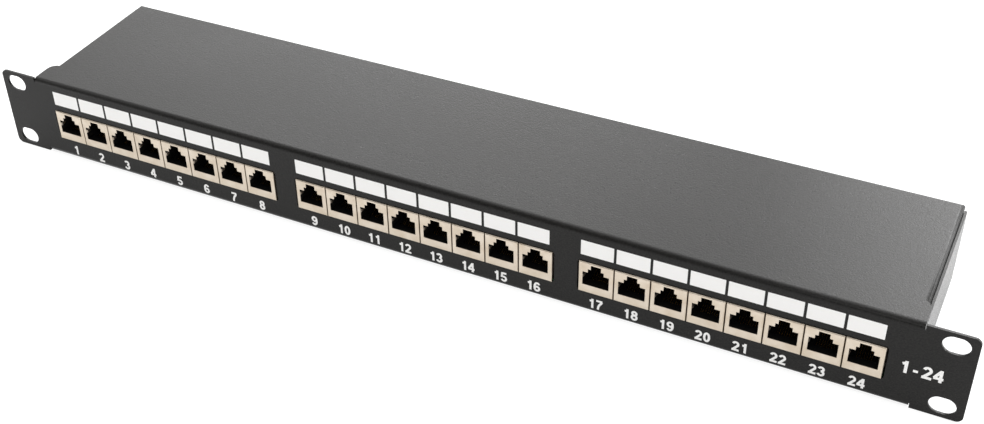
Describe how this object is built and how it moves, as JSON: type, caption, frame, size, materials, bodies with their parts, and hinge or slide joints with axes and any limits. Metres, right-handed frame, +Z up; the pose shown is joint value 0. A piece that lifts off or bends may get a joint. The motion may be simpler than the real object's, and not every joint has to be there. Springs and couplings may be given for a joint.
{
  "type": "shielded network patch panel",
  "caption": "Flat rack-mount patch panel: slotted ears, rows of shielded modular sockets in a folded steel front, wiring blocks on boards inside and a slide-off cover.",
  "frame": {"origin": "centre of the rack slot pattern, on the rear face of the ears", "axes": "+X to the right along the front, +Y back into the rack, +Z up"},
  "size_m": [0.4826, 0.0999, 0.044],
  "materials": {
    "powder_coat": "satin black powder coat on steel",
    "nickel_shield": "satin nickel",
    "black_plastic": "moulded",
    "gold_contact": "gold flash",
    "circuit_board": "solder mask on glass laminate",
    "idc_plastic": "moulded",
    "tinned_clip": "tinned",
    "zinc_fastener": "bright zinc",
    "brass_stud": "turned"
  },
  "bodies": {
    "case": {"front_panel": "powder_coat", "bottom_tray": "powder_coat", "cable_bar": "powder_coat", "ground_stud": "brass_stud", "ground_washer": "zinc_fastener", "ground_nut": "brass_stud", "panel_screws": "zinc_fastener", "cable_bar_screws": "zinc_fastener", "board_standoffs": "brass_stud", "board_screws": "zinc_fastener", "circuit_board_1": "circuit_board", "jack_shields_1": "nickel_shield", "jack_housings_1": "black_plastic", "idc_blocks_1": "idc_plastic", "idc_clips_1": "tinned_clip", "circuit_board_2": "circuit_board", "jack_shields_2": "nickel_shield", "jack_housings_2": "black_plastic", "idc_blocks_2": "idc_plastic", "idc_clips_2": "tinned_clip", "circuit_board_3": "circuit_board", "jack_shields_3": "nickel_shield", "jack_housings_3": "black_plastic", "idc_blocks_3": "idc_plastic", "idc_clips_3": "tinned_clip"},
    "cover": {"top_cover": "powder_coat", "cover_screws": "zinc_fastener"},
    "contacts_01": {"contact_wires_01": "gold_contact"},
    "contacts_02": {"contact_wires_02": "gold_contact"},
    "contacts_03": {"contact_wires_03": "gold_contact"},
    "contacts_04": {"contact_wires_04": "gold_contact"},
    "contacts_05": {"contact_wires_05": "gold_contact"},
    "contacts_06": {"contact_wires_06": "gold_contact"},
    "contacts_07": {"contact_wires_07": "gold_contact"},
    "contacts_08": {"contact_wires_08": "gold_contact"},
    "contacts_09": {"contact_wires_09": "gold_contact"},
    "contacts_10": {"contact_wires_10": "gold_contact"},
    "contacts_11": {"contact_wires_11": "gold_contact"},
    "contacts_12": {"contact_wires_12": "gold_contact"},
    "contacts_13": {"contact_wires_13": "gold_contact"},
    "contacts_14": {"contact_wires_14": "gold_contact"},
    "contacts_15": {"contact_wires_15": "gold_contact"},
    "contacts_16": {"contact_wires_16": "gold_contact"},
    "contacts_17": {"contact_wires_17": "gold_contact"},
    "contacts_18": {"contact_wires_18": "gold_contact"},
    "contacts_19": {"contact_wires_19": "gold_contact"},
    "contacts_20": {"contact_wires_20": "gold_contact"},
    "contacts_21": {"contact_wires_21": "gold_contact"},
    "contacts_22": {"contact_wires_22": "gold_contact"},
    "contacts_23": {"contact_wires_23": "gold_contact"},
    "contacts_24": {"contact_wires_24": "gold_contact"}
  },
  "joints": [
    {"name": "cover_slide", "type": "slide", "parent": "case", "child": "cover", "axis": [0, 1, 0], "range_m": [0, 0.084]},
    {"name": "contacts_press_01", "type": "hinge", "parent": "case", "child": "contacts_01", "pos_m": [-0.20187, 0.00315, -0.00756], "axis": [-1, 0, 0], "range_deg": [0, 12], "stiffness_Nm_per_rad": 0.02},
    {"name": "contacts_press_02", "type": "hinge", "parent": "case", "child": "contacts_02", "pos_m": [-0.18545, 0.00315, -0.00756], "axis": [-1, 0, 0], "range_deg": [0, 12], "stiffness_Nm_per_rad": 0.02},
    {"name": "contacts_press_03", "type": "hinge", "parent": "case", "child": "contacts_03", "pos_m": [-0.16903, 0.00315, -0.00756], "axis": [-1, 0, 0], "range_deg": [0, 12], "stiffness_Nm_per_rad": 0.02},
    {"name": "contacts_press_04", "type": "hinge", "parent": "case", "child": "contacts_04", "pos_m": [-0.15261, 0.00315, -0.00756], "axis": [-1, 0, 0], "range_deg": [0, 12], "stiffness_Nm_per_rad": 0.02},
    {"name": "contacts_press_05", "type": "hinge", "parent": "case", "child": "contacts_05", "pos_m": [-0.13619, 0.00315, -0.00756], "axis": [-1, 0, 0], "range_deg": [0, 12], "stiffness_Nm_per_rad": 0.02},
    {"name": "contacts_press_06", "type": "hinge", "parent": "case", "child": "contacts_06", "pos_m": [-0.11977, 0.00315, -0.00756], "axis": [-1, 0, 0], "range_deg": [0, 12], "stiffness_Nm_per_rad": 0.02},
    {"name": "contacts_press_07", "type": "hinge", "parent": "case", "child": "contacts_07", "pos_m": [-0.10335, 0.00315, -0.00756], "axis": [-1, 0, 0], "range_deg": [0, 12], "stiffness_Nm_per_rad": 0.02},
    {"name": "contacts_press_08", "type": "hinge", "parent": "case", "child": "contacts_08", "pos_m": [-0.08693, 0.00315, -0.00756], "axis": [-1, 0, 0], "range_deg": [0, 12], "stiffness_Nm_per_rad": 0.02},
    {"name": "contacts_press_09", "type": "hinge", "parent": "case", "child": "contacts_09", "pos_m": [-0.05847, 0.00315, -0.00756], "axis": [-1, 0, 0], "range_deg": [0, 12], "stiffness_Nm_per_rad": 0.02},
    {"name": "contacts_press_10", "type": "hinge", "parent": "case", "child": "contacts_10", "pos_m": [-0.04205, 0.00315, -0.00756], "axis": [-1, 0, 0], "range_deg": [0, 12], "stiffness_Nm_per_rad": 0.02},
    {"name": "contacts_press_11", "type": "hinge", "parent": "case", "child": "contacts_11", "pos_m": [-0.02563, 0.00315, -0.00756], "axis": [-1, 0, 0], "range_deg": [0, 12], "stiffness_Nm_per_rad": 0.02},
    {"name": "contacts_press_12", "type": "hinge", "parent": "case", "child": "contacts_12", "pos_m": [-0.00921, 0.00315, -0.00756], "axis": [-1, 0, 0], "range_deg": [0, 12], "stiffness_Nm_per_rad": 0.02},
    {"name": "contacts_press_13", "type": "hinge", "parent": "case", "child": "contacts_13", "pos_m": [0.00721, 0.00315, -0.00756], "axis": [-1, 0, 0], "range_deg": [0, 12], "stiffness_Nm_per_rad": 0.02},
    {"name": "contacts_press_14", "type": "hinge", "parent": "case", "child": "contacts_14", "pos_m": [0.02363, 0.00315, -0.00756], "axis": [-1, 0, 0], "range_deg": [0, 12], "stiffness_Nm_per_rad": 0.02},
    {"name": "contacts_press_15", "type": "hinge", "parent": "case", "child": "contacts_15", "pos_m": [0.04005, 0.00315, -0.00756], "axis": [-1, 0, 0], "range_deg": [0, 12], "stiffness_Nm_per_rad": 0.02},
    {"name": "contacts_press_16", "type": "hinge", "parent": "case", "child": "contacts_16", "pos_m": [0.05647, 0.00315, -0.00756], "axis": [-1, 0, 0], "range_deg": [0, 12], "stiffness_Nm_per_rad": 0.02},
    {"name": "contacts_press_17", "type": "hinge", "parent": "case", "child": "contacts_17", "pos_m": [0.08493, 0.00315, -0.00756], "axis": [-1, 0, 0], "range_deg": [0, 12], "stiffness_Nm_per_rad": 0.02},
    {"name": "contacts_press_18", "type": "hinge", "parent": "case", "child": "contacts_18", "pos_m": [0.10135, 0.00315, -0.00756], "axis": [-1, 0, 0], "range_deg": [0, 12], "stiffness_Nm_per_rad": 0.02},
    {"name": "contacts_press_19", "type": "hinge", "parent": "case", "child": "contacts_19", "pos_m": [0.11777, 0.00315, -0.00756], "axis": [-1, 0, 0], "range_deg": [0, 12], "stiffness_Nm_per_rad": 0.02},
    {"name": "contacts_press_20", "type": "hinge", "parent": "case", "child": "contacts_20", "pos_m": [0.13419, 0.00315, -0.00756], "axis": [-1, 0, 0], "range_deg": [0, 12], "stiffness_Nm_per_rad": 0.02},
    {"name": "contacts_press_21", "type": "hinge", "parent": "case", "child": "contacts_21", "pos_m": [0.15061, 0.00315, -0.00756], "axis": [-1, 0, 0], "range_deg": [0, 12], "stiffness_Nm_per_rad": 0.02},
    {"name": "contacts_press_22", "type": "hinge", "parent": "case", "child": "contacts_22", "pos_m": [0.16703, 0.00315, -0.00756], "axis": [-1, 0, 0], "range_deg": [0, 12], "stiffness_Nm_per_rad": 0.02},
    {"name": "contacts_press_23", "type": "hinge", "parent": "case", "child": "contacts_23", "pos_m": [0.18345, 0.00315, -0.00756], "axis": [-1, 0, 0], "range_deg": [0, 12], "stiffness_Nm_per_rad": 0.02},
    {"name": "contacts_press_24", "type": "hinge", "parent": "case", "child": "contacts_24", "pos_m": [0.19987, 0.00315, -0.00756], "axis": [-1, 0, 0], "range_deg": [0, 12], "stiffness_Nm_per_rad": 0.02}
  ]
}
